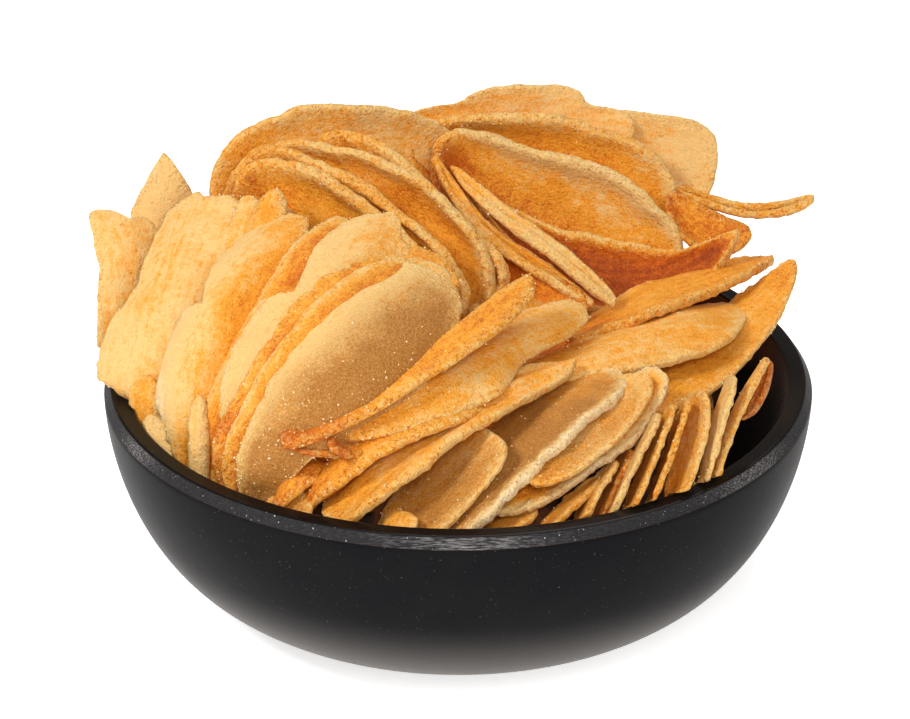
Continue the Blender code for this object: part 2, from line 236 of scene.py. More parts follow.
FRONT_FAN = (
    ((-15, -74, 44), (-11, -67, 49), (-15, -66, 47), (-9, -73, 49), 1, 0.4, {}),
    ((-15, -72, 43), (7.5, -55, 61.5), (-8, -48, 51), (3.5, -67.5, 53), 0.8, 0.3,
     dict(power=2.6, salt=0.4, tan_and_shade=0.6)),
    ((-6, -71, 43), (36, -33, 64), (9, -32, 56), (19, -61, 58.5), 1.5, 0.4,
     dict(power=1.9, egg=-0.1, bead=0.5, pale_rim=1.0, salt=0.4, tan_and_shade=0.9, ragged=2.0)),
    ((14, -64, 55), (41, -38, 66), (23, -41, 60), (30, -58, 58), 0.8, 0.3,
     dict(power=2.0, salt=0.3, tan_and_shade=0.4)),
    ((7, -67, 49.5), (44, -35, 65), (23, -40, 57), (32, -55, 55.5), 0.8, 0.5,
     dict(power=2.2, pale_rim=1.0, ragged=1.4)),
    ((3, -73, 44), (15, -62, 48), (7, -60, 44), (13, -70, 47), 1, 0.5, dict(tan_and_shade=0.3)),
    ((16, -71, 45), (30, -56, 52), (21, -61, 48), (24, -67, 51), 0, 0.5, dict(tan_and_shade=0.4)),
    ((24, -70, 46), (33, -54, 54), (27, -57, 49), (29, -65, 53), 0, 0.4,
     dict(power=3.0, tan_and_shade=0.5)),
    ((27, -67, 45), (36, -50, 55), (31, -51, 49), (33, -60, 52), 0, 0.9,
     dict(power=3.0, tan_and_shade=0.7)),
    ((30, -67, 46), (42, -47, 62), (36, -51, 53), (37, -59, 57), 0, 0.15,
     dict(power=3.2, tan_and_shade=0.2)),
    ((34, -66, 47), (45, -45, 63), (39, -49, 52), (41, -58, 58), 0, 0.45,
     dict(power=3.2, tan_and_shade=0.4)),
    ((39, -64, 48), (48, -43, 63), (44, -46, 52), (45, -55, 59), 0, 0.55,
     dict(power=3.0, tan_and_shade=0.3)),
    ((44, -61, 48), (51, -42, 65), (47, -44, 54), (51, -54, 58), 0, 0.36,
     dict(power=3.2, tan_and_shade=0.1)),
    ((50, -57, 47), (58, -38, 66), (54, -42, 55), (55, -51, 60), 1, 0.15,
     dict(egg=0.3, power=3.2)),
    ((53, -55, 48), (66, -32, 67), (58, -41, 56), (59, -47, 61), 1, 0.25,
     dict(egg=0.1, power=2.8, side=0.2)),
    ((60, -42, 58), (66.5, -31, 66), (62.5, -35, 61.5), (64.5, -38, 62), -2, 1.1,
     dict(tan_and_shade=1.6, pale_rim=0)),
)

# The rows that stand round the back and the right side: where the row starts and ends in
# degrees from +X, how many crisps, the radius and height of their feet and of their heads,
# half their width, the swell outwards, and how far the row's heads rise and fall.
BACK_ROWS = (
    (60, 146, 8, (60, 24), (68, 77), 15, 4, 4),
    (66, 138, 5, (47, 37), (56, 80), 15, 3, 2),
    (2, 44, 4, (52, 24), (49, 54), 13, 4, 1),
    (14, 58, 3, (44, 34), (40, 52), 13, 3, 1),
)
# How far their heads fan out, in degrees, and how far one long edge tucks in.
BACK_ROW_FAN = 5.0
BACK_ROW_TUCK = 7.0
# The crisps that lie on the core between the others: where a ring starts and ends in
# degrees from +X, how many, its radius and height, and how steeply they lie.
CORE_RINGS = (
    (22, 202, 9, 57, 47, 38),
    (-44, 8, 3, 45, 47, 40),
    (-70, 250, 9, 39, 54, 16),
    (-30, 270, 6, 19, 59, 8),
)
# Half their length, half their width, and their swell.
CORE_CRISP = (18.5, 12.5, 3.0)

# ------------ colours, as linear RGB
CREAM = (0.86, 0.55, 0.205)
GOLD = (0.90, 0.37, 0.028)
ORANGE = (0.66, 0.15, 0.006)
# Past a tone of 1: deeper fried colour and painted shade under rims and in hollows.
DEEP_ORANGE_AND_SHADE = (0.34, 0.055, 0.003)
RIM_CREAM = (0.95, 0.62, 0.21)
BROKEN_RIM = (0.95, 0.76, 0.46)
FLECK = (0.46, 0.085, 0.007)
GRAIN_SHADE = (0.68, 0.46, 0.16)
TAN = (0.47, 0.205, 0.042)
# The core's two colours are painted shade for the gaps deep between the crisps.
CORE_SHADE_BROWN = (0.16, 0.045, 0.009)
CORE_SHADE_DARK = (0.02, 0.007, 0.003)
CHARCOAL = (0.0068, 0.0066, 0.0077)
CHARCOAL_PALE = (0.010, 0.0095, 0.010)
# Greyer towards the bowl's foot: a painted reflection of the floor.
FOOT_REFLECTION_GREY = (0.20, 0.18, 0.165)
BAND_DARK = (0.024, 0.023, 0.024)
BAND_GREY = (0.26, 0.24, 0.235)
INSIDE_DARK = (0.006, 0.004, 0.003)
# A painted warm reflection of the crisps on the inner wall under the rim.
INSIDE_REFLECTION_WARM = (0.085, 0.034, 0.012)
BOWL_SPECK = (0.5, 0.48, 0.46)
BOWL_SHEEN = (1.0, 0.92, 0.86)
SALT = (0.93, 0.80, 0.52)
FLOOR_PALE = (0.93, 0.93, 0.93)
SKY_PALE = (1.0, 0.99, 0.97)


# ------------ making meshes
def new_mesh(name, points, quads, triangles=(), smooth=True):
    """An object at the origin from points in millimetres and arrays of corners."""
    mesh = bpy.data.meshes.new(name)
    polygons = [tuple(q) for q in np.asarray(quads, int).tolist()]
    polygons += [tuple(t) for t in np.asarray(triangles, int).reshape(-1, 3).tolist()]
    mesh.from_pydata((np.asarray(points, float) * MM).tolist(), [], polygons)
    mesh.polygons.foreach_set("use_smooth", [smooth] * len(mesh.polygons))
    mesh.update()
    made = bpy.data.objects.new(name, mesh)
    bpy.context.collection.objects.link(made)
    return made


def set_values(made, name, values):
    """One number for each point of the mesh, for its material to read."""
    layer = made.data.attributes.new(name, "FLOAT", "POINT")
    layer.data.foreach_set("value", np.asarray(values, np.float32))


def set_uv(made, name, uv):
    """A UV map from two numbers for each point."""
    layer = made.data.uv_layers.new(name=name)
    corner = np.empty(len(made.data.loops), np.int32)
    made.data.loops.foreach_get("vertex_index", corner)
    layer.data.foreach_set("uv", np.asarray(uv, np.float32)[corner].ravel())


def unit(vectors):
    """The vectors at length 1."""
    return vectors / np.maximum(np.linalg.norm(vectors, axis=-1, keepdims=True), 1e-9)


def directions(degrees):
    """Level directions outwards and round, at an angle from +X."""
    turn = math.radians(degrees)
    return (np.array([math.cos(turn), math.sin(turn), 0.0]),
            np.array([-math.sin(turn), math.cos(turn), 0.0]))


def circle(steps):
    """Even angles round a circle, and their cosines and sines side by side."""
    turn = np.linspace(0, 2 * math.pi, steps, endpoint=False)
    return turn, np.column_stack([np.cos(turn), np.sin(turn)])


def ease(x):
    """0 up to 0, 1 from 1 on, and 3x^2 - 2x^3 between."""
    x = np.clip(x, 0, 1)
    return x * x * (3 - 2 * x)


def fade(distance, reach):
    """1 at no distance, falling off as a bell of the given reach."""
    return np.exp(-((distance / reach) ** 2))


def lattice(cell, seed):
    """A number from 0 to 1 for each whole-number cell: the fraction of a large sine."""
    mixed = cell @ np.array([127.1, 311.7, 74.7]) + seed * 53.3
    return np.modf(np.abs(np.sin(mixed) * 43758.5453))[0]


def bumps(points, size, seed):
    """Smooth noise from -1 to 1: the lattice's numbers at the cells of the given size,
    joined in each direction by the ease curve."""
    at = np.asarray(points, float) / size + seed * 7.7
    cell = np.floor(at)
    part = ease(at - cell)
    total = 0.0
    for corner in np.ndindex(2, 2, 2):
        corner = np.array(corner)
        share = np.where(corner, part, 1 - part).prod(-1)
        total = total + share * lattice(cell + corner, seed)
    return total * 2 - 1


def layered(points, layers, seed):
    """Bumps added up from layers of (height, width, what is added to the seed)."""
    return sum(height * bumps(points, width, seed + more) for height, width, more in layers)


# ------------ the bowl
def wall_curve(foot_radius, rim_radius, low, high):
    """A bowl's side from the foot up: the radius goes with sin(a) and the height with
    1 - cos(a), each raised to its own power, as a runs through a quarter turn."""
    a = np.linspace(0.0, math.pi / 2, WALL_STEPS)
    radius = foot_radius + (rim_radius - foot_radius) * np.sin(a) ** (2 / SWELL)
    height = low + (high - low) * (1 - np.cos(a) ** (2 / RISE))
    return np.column_stack([radius, height])


INNER_WALL = wall_curve(FOOT_RADIUS - WALL, INNER_RADIUS, FLOOR, BOWL_HEIGHT - RIM_ROUND)


def inner_radius(height):
    """The radius of the bowl's inner wall at a height."""
    return np.interp(height, INNER_WALL[:, 1], INNER_WALL[:, 0])


def straight(radius_from, radius_to, height):
    """Six points on a level line of the half outline."""
    return np.column_stack([np.linspace(radius_from, radius_to, 6), np.full(6, height)])


def bowl_outline():
    """The half outline, from the floor's middle up the inside, over the rim, down the
    outside and under the foot, with the zone that each point belongs to: 0 inside,
    1 the rim's flat top, 2 the ground band outside it, 3 the outer wall."""
    outside = wall_curve(FOOT_RADIUS, RIM_RADIUS, 0.0, BOWL_HEIGHT - BEVEL_DROP)[::-1]
    lip_start = INNER_RADIUS + RIM_ROUND
    a = np.radians(np.linspace(170, 90, 4))
    lip = np.column_stack([lip_start + RIM_ROUND * np.cos(a),
                           BOWL_HEIGHT - RIM_ROUND + RIM_ROUND * np.sin(a)])
    flat_end = RIM_RADIUS - BEVEL_WIDTH
    top = np.column_stack([np.linspace(lip_start + 0.4, flat_end - 0.15, 5),
                           np.full(5, BOWL_HEIGHT)])
    share = np.linspace(0.04, 0.94, 6)[:, None]
    band_top = np.array([flat_end, BOWL_HEIGHT - 0.1])
    band_foot = np.array([RIM_RADIUS, BOWL_HEIGHT - BEVEL_DROP])
    band = band_top + (band_foot - band_top) * share
    floor = straight(0, FOOT_RADIUS - WALL - 1, FLOOR)
    foot = straight(FOOT_RADIUS - 0.8, 0, 0.0)
    parts = ((floor, 0), (INNER_WALL, 0), (lip, 0), (top, 1), (band, 2), (outside, 3), (foot, 3))
    points = np.vstack([part for part, _ in parts])
    zones = np.concatenate([np.full(len(part), float(zone)) for part, zone in parts])
    return points, zones


def turned(name, outline, zones):
    """The outline carried round the Z axis: x = r cos t, y = r sin t, z. Its two ends lie
    on the axis and are one point each."""
    ring = outline[1:-1]
    _, around = circle(TURN_STEPS)
    flat = ring[:, None, :1] * around[None]
    high = np.broadcast_to(ring[:, None, 1:], (len(ring), TURN_STEPS, 1))
    points = np.concatenate([flat, high], -1).reshape(-1, 3)
    points = np.vstack([points, [0, 0, outline[0, 1]], [0, 0, outline[-1, 1]]])
    at = np.arange(len(ring) * TURN_STEPS).reshape(len(ring), TURN_STEPS)
    after = np.roll(at, -1, 1)
    quads = np.stack([at[:-1], at[1:], after[1:], after[:-1]], -1).reshape(-1, 4)
    first, last = len(points) - 2, len(points) - 1
    caps = np.vstack([
        np.column_stack([at[0], after[0], np.full(TURN_STEPS, first)]),
        np.column_stack([after[-1], at[-1], np.full(TURN_STEPS, last)]),
    ])
    made = new_mesh(name, points, quads, caps)
    zone = np.concatenate([np.repeat(zones[1:-1], TURN_STEPS), [zones[0], zones[-1]]])
    for mark, wanted in (("ground_band", 2), ("outer_wall", 3)):
        set_values(made, mark, zone == wanted)
    # Where the band's scratches are painted bright, as a highlight.
    turns = np.degrees(np.arctan2(points[:, 1], points[:, 0]))
    band_highlight = sum(fade(turns - middle, spread) for middle, spread in BAND_HIGHLIGHT_PLACES)
    set_values(made, "band_highlight", np.clip(band_highlight, 0, 1))
    return made


def inside_bowl(points):
    """Points below the rim, and a little above it, brought in to the bowl's inner wall."""
    height = points[..., 2]
    room = inner_radius(height) - WALL_CLEARANCE
    room = room + np.clip(height - BOWL_HEIGHT, 0, None) * ROOM_ABOVE_RIM
    reach = np.hypot(points[..., 0], points[..., 1])
    squeeze = np.minimum(1, room / np.maximum(reach, 1e-6))
    return points * np.stack([squeeze, squeeze, np.ones_like(squeeze)], -1)


# ------------ a crisp
def half_sizes(row):
    """Half a crisp's length and half its width."""
    tip_a, tip_b, edge_a, edge_b = (np.array(p, float) for p in row[:4])
    return np.linalg.norm(tip_b - tip_a) / 2, np.linalg.norm(edge_b - edge_a) / 2


def crisp_face(row, x, y):
    """The middle of a crisp's thickness over x from tip to tip and y from edge to edge:
    centre + x half length + (1 - x^2) bow + y half width + rise outwards, where the rise
    is swell (1 - x^2 - y^2). By name: egg makes the second tip's end wider; lean moves
    the swell to the first edge; roll turns that edge back by so many millimetres; pinch
    draws it in from pinch_start on, pinch_right draws in the second edge there, and
    pinch_foot the first edge towards the first tip; sway bends the spine like an S."""
    tip_a, tip_b, edge_a, edge_b, swell, _, more = row
    tip_a, tip_b, edge_a, edge_b = (np.array(p, float) for p in (tip_a, tip_b, edge_a, edge_b))
    centre, half_length = (tip_a + tip_b) / 2, (tip_b - tip_a) / 2
    half_width = (edge_b - edge_a) / 2
    bow = (edge_a + edge_b) / 2 - centre
    out = unit(np.cross(half_width, half_length))
    beyond = ease((x - more.get("pinch_start", 0.1)) / PINCH_RUN)
    drawn = 1 - more.get("pinch", 0) * beyond
    drawn = drawn * (1 - more.get("pinch_foot", 0) * ease((FOOT_PINCH_START - x) / FOOT_PINCH_RUN))
    drawn_right = 1 - more.get("pinch_right", 0) * beyond
    width = y * (1 + more.get("egg", 0) * x) * np.where(y < 0, drawn, drawn_right)
    rise = swell * (1 - x**2 - y**2) * (1 - more.get("lean", 0) * y)
    rolled = np.clip((-y - ROLL_START) / (1 - ROLL_START), 0, None) ** 2
    rise = rise - more.get("roll", 0) * rolled
    x, width, rise = x[..., None], width[..., None], rise[..., None]
    sway = more.get("sway", 0) * np.sin(math.pi * x) * unit(half_width)
    return centre + x * half_length + (1 - x**2) * bow + width * half_width + rise * out + sway


def face_normals(row, x, y):
    """Directions square to the face, from its slopes along x and along y."""
    step = 0.01
    across = crisp_face(row, x, y + step) - crisp_face(row, x, y - step)
    along = crisp_face(row, x + step, y) - crisp_face(row, x - step, y)
    return unit(np.cross(across, along))


def even_turns(half_length, half_width, count):
    """Angles round an ellipse that share its edge into equal lengths."""
    t = np.linspace(0, 2 * math.pi, 721)
    step = np.hypot(np.diff(np.cos(t)) * half_length, np.diff(np.sin(t)) * half_width)
    run = np.concatenate([[0], np.cumsum(step)])
    return np.interp(np.linspace(0, run[-1], count, endpoint=False), run, t)


def oval_rings(row, seed, small):
    """Rings inside an oval |x|^p + |y|^p = 1, from its edge to near its middle: the first
    ones lie at RIM_RINGS' distances from the edge, the others share what is left. By name:
    power is p; the edge wanders in and out by noise, ragged times as far; dents (degrees
    round from the second tip, depth, spread) push it in; bead spreads the rim's rings.
    Gives x, y and the distance in from the edge."""
    half_length, half_width = half_sizes(row)
    more = row[6]
    turn = even_turns(half_length, half_width, SMALL_AROUND if small else STEPS_AROUND)
    power = more.get("power", OVAL_POWER)
    stretch = (np.abs(np.cos(turn)) ** power + np.abs(np.sin(turn)) ** power) ** (-1 / power)
    edge = np.stack([np.cos(turn) * half_length, np.sin(turn) * half_width, 0 * turn], -1)
    radius = np.hypot(edge[:, 0], edge[:, 1]) * stretch
    wander = layered(edge, OUTLINE_WANDER, seed) / radius
    reach = 1 + wander * more.get("ragged", 1.0) * (SMALL_WANDER if small else 1)
    for degrees, depth, spread in more.get("dents", ()):
        off = (np.degrees(turn) - degrees + 180) % 360 - 180
        reach = reach - depth / half_width * fade(off, spread)
    slant = np.hypot(half_width * np.cos(turn), half_length * np.sin(turn))
    depth_to_middle = half_length * half_width / slant
    near = np.array([distance for distance, _ in RIM_RINGS])
    near = near * (1 + 0.5 * more.get("bead", 0))
    rim = 1 - near[:, None] / depth_to_middle
    rest = np.linspace(1, 0, (SMALL_INWARD if small else STEPS_INWARD) + 1)[1:-1]
    rings = np.vstack([rim, rim[-1] * rest[:, None], np.zeros((1, len(turn)))])
    away = (1 - rings) * depth_to_middle
    return rings * np.cos(turn) * stretch * reach, rings * np.sin(turn) * stretch * reach, away


def crisp(row, seed):
    """One crisp as points, faces and what its material reads. The face over the oval is
    waved by noise, grooved along its length and curled up at the rim, and gets its
    thickness along its normal, thicker by the bead near the rim and rounded off at it. By
    name: groove and curl are millimetres, bead is a share of the thickness; side and slope
    deepen the colour towards the second edge and the second tip, partly as painted shade, and
    foot paints shade towards the first tip; pale_rim makes the rim paler; tan browns the face
    and paints shade on it, most towards the first tip and the second edge; salt is how thickly
    grains lie on the face, besides those at the rim."""
    half_length, half_width = half_sizes(row)
    more = row[6]
    small = half_length < SMALL_CRISP
    x, y, away = oval_rings(row, seed, small)
    out = face_normals(row, x, y)
    flat = np.stack([x * half_length, y * half_width, 0 * x], -1)
    wave = layered(flat, FACE_WAVES, seed)
    wave = wave + more.get("groove", 0.3) * bumps(flat * GROOVE_STRETCH, GROOVE_WIDTH, seed + 2)
    wave = wave * (SMALL_WAVES if small else 1) + more.get("curl", 0) * fade(away, CURL_REACH)
    face = crisp_face(row, x, y) + out * wave[..., None]
    share = np.ones(len(x))
    share[:len(RIM_RINGS)] = [part for _, part in RIM_RINGS]
    share = share[:, None]
    bead = 1 + more.get("bead", 0) * fade(away - BEAD_INSET, BEAD_WIDTH)
    thick = HALF_THICKNESS * (SMALL_THICKNESS if small else 1)
    half = thick * share * bead * (1 + UNEVEN_THICKNESS * bumps(flat, 6.0, seed + 3))
    crumb = CRUMB_HEIGHT * fade(away, CRUMB_REACH) * (share > 0.5)
    front, back = (
        inside_bowl(face + way * out * (half + crumb * bumps(flat, CRUMB_WIDTH, own))[..., None])
        for way, own in ((1, seed + 4), (-1, seed + 6)))
    rim = fade(away, PALE_RIM_WIDTH + more.get("bead", 0))
    # side and slope deepen the tone towards the second edge and the second tip, partly as the
    # crisp's own colour and partly as painted shade; foot paints shade towards the first tip.
    tone = row[5] + more.get("side", 0) * y + more.get("slope", 0) * x
    tone = tone + more.get("foot", 0.3) * ease((-0.35 - x) / 0.6)
    tone = tone - more.get("pale_rim", 0.15) * rim
    # The tan's slopes towards the first tip and the second edge are painted shade.
    tan_and_shade = np.clip(TAN_MIDDLE + TAN_SHADE_ALONG * x + TAN_SHADE_ACROSS * y, 0, TAN_MOST)
    tan_and_shade = more.get("tan_and_shade", 0) * tan_and_shade * (1 - 0.9 * rim)
    quads, fans = ring_faces(*x.shape)
    uv = (flat[..., :2] + seed * UV_SHIFT) / UV_UNIT
    salt = more.get("salt", 0.0) * ease(0.5 - 0.7 * x + 0.2 * y) + 0.3 * rim
    salt = salt * np.hypot(flat[..., 0], flat[..., 1])
    places = (front[2:-1].reshape(-1, 3), out[2:-1].reshape(-1, 3), salt[2:-1].ravel())
    return dict(points=both_faces(front, back), quads=quads, fans=fans, places=places,
                rim=both_faces(rim, rim), tone=both_faces(tone, tone),
                tan_and_shade=both_faces(tan_and_shade, tan_and_shade), uv=both_faces(uv, uv))


def both_faces(front, back):
    """The front's values from the edge in and at the middle, then the back's inside the
    edge and at the middle. The rings' last row is the middle, where all points are one."""
    if front.ndim == 2:
        front, back = front[..., None], back[..., None]
        return both_faces(front, back)[:, 0]
    width = front.shape[-1]
    return np.vstack([front[:-1].reshape(-1, width), front[-1, :1],
                      back[1:-1].reshape(-1, width), back[-1, :1]])


def ring_faces(rows, around):
    """Quads between the rings of both faces, and the fans that close their middles."""
    front = np.arange((rows - 1) * around).reshape(rows - 1, around)
    middle = front.size
    inner = np.arange((rows - 2) * around).reshape(rows - 2, around) + middle + 1
    back = np.vstack([front[:1], inner])
    back_middle = middle + 1 + inner.size
    after = np.roll(front, -1, 1)
    quads = np.stack([front[:-1], front[1:], after[1:], after[:-1]], -1).reshape(-1, 4)
    fan = np.column_stack([after[-1], front[-1], np.full(around, middle)])
    after = np.roll(back, -1, 1)
    back_quads = np.stack([back[:-1], after[:-1], after[1:], back[1:]], -1).reshape(-1, 4)
    back_fan = np.column_stack([back[-1], after[-1], np.full(around, back_middle)])
    return np.vstack([quads, back_quads]), np.vstack([fan, back_fan])


# ------------ pieces of the heap
def part_of_heap(piece, finish):
    """The piece in its finish, riding on the body and standing for the heap."""
    piece.data.materials.append(finish)
    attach(piece, "root")
    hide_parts("crisp_heap")


def crisps(name, rows, first_seed, finish):
    """Several crisps as one piece. Gives back the places where grains can lie on them."""
    made = [crisp(row, first_seed + i) for i, row in enumerate(rows)]
    starts = np.cumsum([0] + [len(m["points"]) for m in made[:-1]])
    points = np.vstack([m["points"] for m in made])
    quads = np.vstack([m["quads"] + start for m, start in zip(made, starts)])
    fans = np.vstack([m["fans"] + start for m, start in zip(made, starts)])
    piece = new_mesh(name, points, quads, fans)
    for value in ("rim", "tone", "tan_and_shade"):
        set_values(piece, value, np.concatenate([m[value] for m in made]))
    set_uv(piece, "sheet", np.vstack([m["uv"] for m in made]))
    part_of_heap(piece, finish)
    return [m["places"] for m in made]


def back_row_crisps():
    """The rows of BACK_ROWS. Each crisp faces outwards, its head fans away from its foot,
    one long edge tucks behind its neighbour, and the heads rise and fall along the row.
    Sines of its number make each crisp differ from its neighbours."""
    rows = []
    for start, end, count, foot, head, half_width, swell, wave in BACK_ROWS:
        for i, degrees in enumerate(np.linspace(start, end, count)):
            out, side = directions(degrees)
            head_out, _ = directions(degrees + BACK_ROW_FAN * math.sin(2.1 * i + 0.5))
            low = out * foot[0] + UP * foot[1]
            high = head_out * head[0] + UP * (head[1] + wave * math.sin(1.7 * i))
            middle = (low + high) / 2
            tuck = BACK_ROW_TUCK * out
            edges = (middle + half_width * side - tuck, middle - half_width * side + tuck)
            tone = 0.35 + 0.3 * math.sin(2.6 * i + 1.0)
            rows.append((low, high, *edges, swell, tone, dict(egg=0.1 * math.cos(i))))
    return rows


def core_crisps():
    """The rings of CORE_RINGS. Each crisp lies along its ring, turned a little to one side,
    and slopes down outwards as the core does. Sines of its number make each one differ."""
    rows = []
    long, wide, swell = CORE_CRISP
    for start, end, count, radius, height, slope in CORE_RINGS:
        for i, degrees in enumerate(np.linspace(start, end, count)):
            yaw = 0.45 * math.sin(2.3 * i + radius)
            dip = math.radians(slope + 9 * math.sin(1.9 * i + 1.0))
            out, side = directions(degrees)
            down = out * math.cos(dip) - UP * math.sin(dip)
            along = side * math.cos(yaw) + down * math.sin(yaw)
            across = down * math.cos(yaw) - side * math.sin(yaw)
            middle = out * radius + UP * (height + 1.2 * math.sin(2.7 * i))
            tone = 0.75 + 0.25 * math.sin(3.1 * i + 2.0)
            rows.append((middle - along * long, middle + along * long, middle - across * wide,
                         middle + across * wide, swell, tone, dict(bead=0.3, pale_rim=0.3)))
    return rows


def core_dome(name, finish):
    """Rings along the bowl's inner wall up to the shoulder, then a dome: the radius goes
    with a power of cos(a) and the height with sin(a). On the right it keeps away from the
    wall."""
    turn, around = circle(CORE_STEPS)
    off_side = (turn - HOLLOW_TURN + math.pi) % (2 * math.pi) - math.pi
    hollow = HOLLOW_DEPTH * fade(off_side, HOLLOW_SPREAD)
    rings = []
    for height in np.linspace(FLOOR + 0.5, CORE_SHOULDER, 12):
        inset = hollow * np.clip((height - HOLLOW_FOOT) / HOLLOW_RISE, 0, 1)
        reach = inner_radius(height) - CORE_OFF_WALL - inset
        rings.append(np.column_stack([around * reach[:, None], np.full(CORE_STEPS, height)]))
    shoulder_ring = rings[-1]
    for a in np.linspace(0, math.pi / 2, 14)[1:-1]:
        share = math.cos(a) ** CORE_POWER
        flat = CORE_TOP[:2] + (shoulder_ring[:, :2] - CORE_TOP[:2]) * share
        height = CORE_SHOULDER + (CORE_TOP[2] - CORE_SHOULDER) * math.sin(a)
        rings.append(np.column_stack([flat, np.full(CORE_STEPS, height)]))
    grid = np.array(rings)
    grid[1:, :, 2] += layered(grid[1:], CORE_LUMPS, CORE_SEED)
    points = np.vstack([grid.reshape(-1, 3), [0, 0, FLOOR + 0.5], CORE_TOP])
    at = np.arange(len(grid) * CORE_STEPS).reshape(-1, CORE_STEPS)
    after = np.roll(at, -1, 1)
    quads = np.stack([at[:-1], after[:-1], after[1:], at[1:]], -1).reshape(-1, 4)
    base, peak = len(points) - 2, len(points) - 1
    caps = np.vstack([np.column_stack([after[0], at[0], np.full(CORE_STEPS, base)]),
                      np.column_stack([at[-1], after[-1], np.full(CORE_STEPS, peak)])])
    part_of_heap(new_mesh(name, points, quads, caps), finish)


def grains(name, places, finish):
    """Loose grains lying on the crisps: eight-sided lumps at places drawn by their weight,
    each a little sunk into the face, with its own size and turn."""
    points = np.vstack([p for p, _, _ in places])
    outs = np.vstack([o for _, o, _ in places])
    weight = np.concatenate([w for _, _, w in places])
    rng = np.random.default_rng(GRAIN_SEED)
    chosen = rng.choice(len(points), GRAIN_COUNT, p=weight / weight.sum())
    jitter = rng.uniform(-GRAIN_SCATTER, GRAIN_SCATTER, (GRAIN_COUNT, 3))
    outwards = outs[chosen]
    jitter = jitter - outwards * (jitter * outwards).sum(-1, keepdims=True)
    size = rng.uniform(*GRAIN_SIZES, (GRAIN_COUNT, 1))
    centres = points[chosen] + jitter + outwards * size * GRAIN_RAISED
    corners = np.array([[1, 0, 0], [-1, 0, 0], [0, 1, 0], [0, -1, 0], [0, 0, 1], [0, 0, -1]])
    turn = unit(rng.normal(size=(GRAIN_COUNT, 3)))
    across = unit(np.cross(turn, rng.normal(size=(GRAIN_COUNT, 3))))
    axes = np.stack([turn, across, np.cross(turn, across)], 1)
    stretch = rng.uniform(*GRAIN_STRETCH, (GRAIN_COUNT, 6, 1))
    lumps = centres[:, None] + (corners[None] * stretch) @ axes * size[:, None]
    faces = np.array([[0, 2, 4], [2, 1, 4], [1, 3, 4], [3, 0, 4],
                      [2, 0, 5], [1, 2, 5], [3, 1, 5], [0, 3, 5]])
    triangles = (faces[None] + np.arange(GRAIN_COUNT)[:, None, None] * 6).reshape(-1, 3)
    piece = new_mesh(name, lumps.reshape(-1, 3), np.empty((0, 4), int), triangles, smooth=False)
    part_of_heap(piece, finish)


# ------------ node helpers
def add(tree, kind, inputs=(), **settings):
    """A node with its settings and its inputs, each a number, a colour or a socket."""
    made = tree.nodes.new(kind)
    for key, value in settings.items():
        setattr(made, key, value)
    for key, value in dict(inputs).items():
        if isinstance(value, bpy.types.NodeSocket):
            tree.links.new(value, made.inputs[key])
        else:
            made.inputs[key].default_value = value
    return made


def number(tree, operation, a, b, clamp=False):
    """A sum on two values; clamp keeps it from 0 to 1."""
    node = add(tree, "ShaderNodeMath", {0: a, 1: b}, operation=operation, use_clamp=clamp)
    return node.outputs[0]


def plus(tree, a, b, clamp=False):
    return number(tree, "ADD", a, b, clamp)


def times(tree, a, b, clamp=False):
    return number(tree, "MULTIPLY", a, b, clamp)


def swing(tree, pattern, amount):
    """A pattern from 0 to 1 as a swing about its middle, times an amount."""
    return times(tree, number(tree, "SUBTRACT", pattern, 0.5), amount)


def between(tree, value, low, high, to_low=0.0, to_high=1.0):
    """The value's place between two limits, eased, as a mask."""
    node = add(tree, "ShaderNodeMapRange",
               {"Value": value, "From Min": low, "From Max": high,
                "To Min": to_low, "To Max": to_high}, interpolation_type="SMOOTHSTEP")
    return node.outputs[0]


def rgba(colour):
    return (*colour, 1.0)


def blend(tree, share, first, second, how="MIX"):
    """The first colour over to the second, each a tuple or a socket."""
    first, second = (rgba(c) if isinstance(c, tuple) else c for c in (first, second))
    node = add(tree, "ShaderNodeMix", {0: share, 6: first, 7: second},
               data_type="RGBA", blend_type=how)
    return node.outputs[2]


def noise(tree, at, scale, detail=2.0, rough=0.5):
    """Noise from 0 to 1, with so many waves to a unit of the position."""
    node = add(tree, "ShaderNodeTexNoise",
               {"Vector": at, "Scale": scale, "Detail": detail, "Roughness": rough})
    return node.outputs[0]


def reading(tree, name):
    """What set_values wrote on the mesh under this name."""
    return add(tree, "ShaderNodeAttribute", attribute_name=name).outputs["Fac"]


def millimetres(tree):
    """Object coordinates in millimetres."""
    at = add(tree, "ShaderNodeTexCoord").outputs["Object"]
    node = add(tree, "ShaderNodeVectorMath", {0: at, "Scale": 1 / MM}, operation="SCALE")
    return node.outputs[0]


def relief(tree, shader, height, strength, depth):
    """A height carried to the shader's normal, so many millimetres deep."""
    node = add(tree, "ShaderNodeBump",
               {"Strength": strength, "Distance": depth * MM, "Height": height})
    tree.links.new(node.outputs[0], shader.inputs["Normal"])


def new_group(name, inputs, outputs):
    """A shader node group with named sockets: (name, kind, default) in, (name, kind) out."""
    tree = bpy.data.node_groups.new(name, "ShaderNodeTree")
    for label, kind, value in inputs:
        socket = tree.interface.new_socket(label, in_out="INPUT", socket_type=kind)
        if value is not None:
            socket.default_value = value
    for label, kind in outputs:
        tree.interface.new_socket(label, in_out="OUTPUT", socket_type=kind)
    return tree, tree.nodes.new("NodeGroupInput"), tree.nodes.new("NodeGroupOutput")


def new_material(name, roughness):
    """A material with its node tree and its shader."""
    made = bpy.data.materials.new(name)
    made.use_nodes = True
    shader = made.node_tree.nodes["Principled BSDF"]
    shader.inputs["Roughness"].default_value = roughness
    return made, made.node_tree, shader


